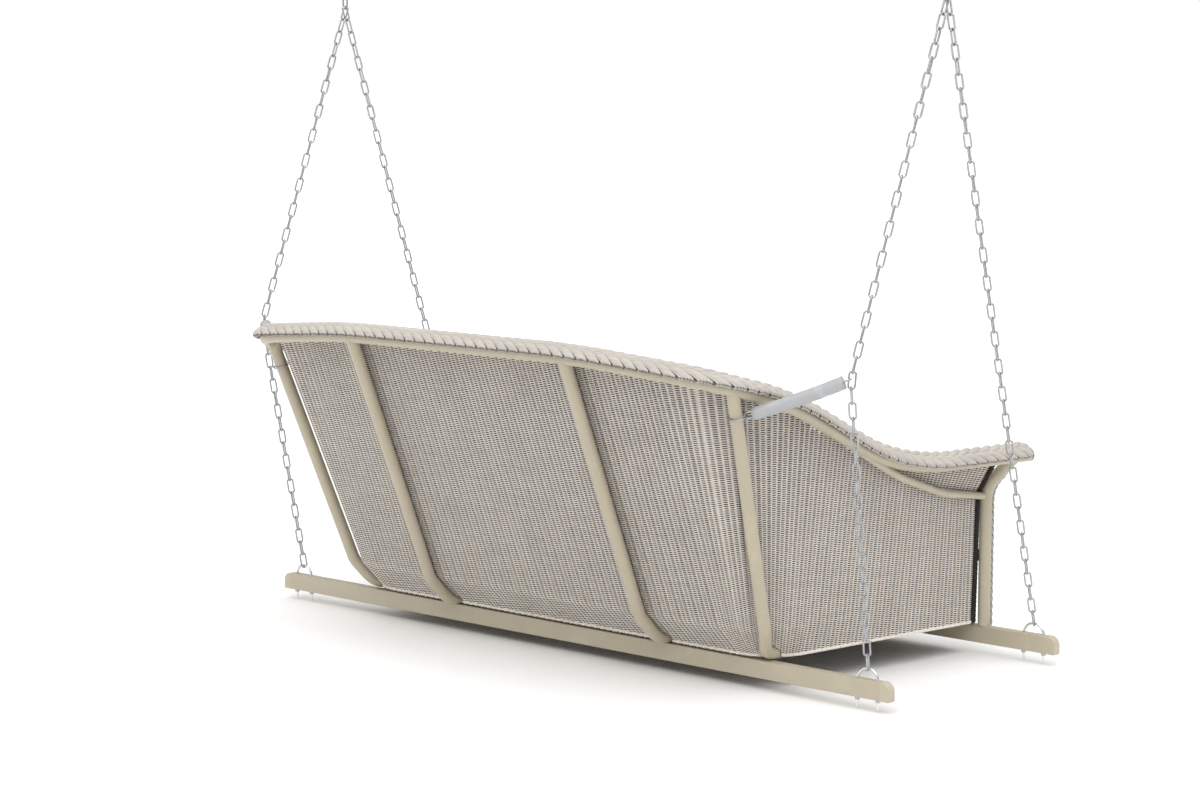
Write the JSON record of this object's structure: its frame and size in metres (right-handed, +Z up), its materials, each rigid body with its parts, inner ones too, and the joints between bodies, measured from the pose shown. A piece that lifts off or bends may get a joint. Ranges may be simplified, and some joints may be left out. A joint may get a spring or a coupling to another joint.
{
  "type": "porch swing",
  "caption": "Chain-hung porch swing with a woven loom seat shell on a bent tube frame, two rails, V chains, stay chains in sleeves and ceiling hooks.",
  "frame": {"origin": "bottom centre of the whole object's box, under the lowest bolt ends", "axes": "+Z up, +X along the seat, +Y to the back of the swing"},
  "size_m": [2.088, 1.164, 1.8134],
  "materials": {
    "frame_paint": "satin powder coat, warm beige",
    "loom_weave": "twisted loom fibre, light grey beige, matt",
    "braid_weave": "braided loom fibre, light grey beige, matt",
    "chain_zinc": "bright zinc plated wire",
    "bolt_zinc": "bright zinc plated bar",
    "clear_vinyl": "cloudy clear vinyl tube",
    "strap_steel": "plain galvanised strap",
    "black_plastic": "black moulded plug"
  },
  "bodies": {
    "ceiling": {"left_ceiling_hook": "bolt_zinc", "right_ceiling_hook": "bolt_zinc"},
    "drop_chains": {"left_drop_chain": "chain_zinc", "right_drop_chain": "chain_zinc"},
    "swing": {"back_braid": "braid_weave", "back_centre_panel": "loom_weave", "front_apron": "loom_weave", "front_rail": "frame_paint", "left_arm_brace": "frame_paint", "left_arm_braid": "braid_weave", "left_back_panel": "loom_weave", "left_back_post": "frame_paint", "left_corner_post": "frame_paint", "left_front_chain": "chain_zinc", "left_front_post": "frame_paint", "left_joining_link": "chain_zinc", "left_post_braid": "braid_weave", "left_rear_lower_chain": "chain_zinc", "left_rear_upper_chain": "chain_zinc", "left_side_panel": "loom_weave", "left_stay_chain": "chain_zinc", "left_stay_hoop": "chain_zinc", "left_stay_sleeve": "clear_vinyl", "rail_end_caps": "frame_paint", "rear_rail": "frame_paint", "right_arm_brace": "frame_paint", "right_arm_braid": "braid_weave", "right_back_panel": "loom_weave", "right_back_post": "frame_paint", "right_corner_post": "frame_paint", "right_front_chain": "chain_zinc", "right_front_post": "frame_paint", "right_joining_link": "chain_zinc", "right_post_braid": "braid_weave", "right_rear_lower_chain": "chain_zinc", "right_rear_upper_chain": "chain_zinc", "right_side_panel": "loom_weave", "right_stay_chain": "chain_zinc", "right_stay_hoop": "chain_zinc", "right_stay_sleeve": "clear_vinyl", "seat_deck": "loom_weave", "seat_front_tube": "frame_paint", "seat_rear_legs": "frame_paint", "seat_rear_tube": "frame_paint", "seat_straps": "strap_steel", "top_tube": "frame_paint", "top_tube_plugs": "black_plastic", "u_bolt_nuts": "bolt_zinc", "u_bolt_washers": "bolt_zinc", "u_bolts": "bolt_zinc"}
  },
  "joints": [
    {"name": "hook_swing", "type": "hinge", "parent": "ceiling", "child": "drop_chains", "pos_m": [0, -0.04998, 1.70345], "axis": [1, 0, 0], "range_deg": [-25, 25]},
    {"name": "chain_swing", "type": "hinge", "parent": "drop_chains", "child": "swing", "pos_m": [0, -0.04998, 1.634], "axis": [1, 0, 0], "range_deg": [-15, 15]}
  ]
}
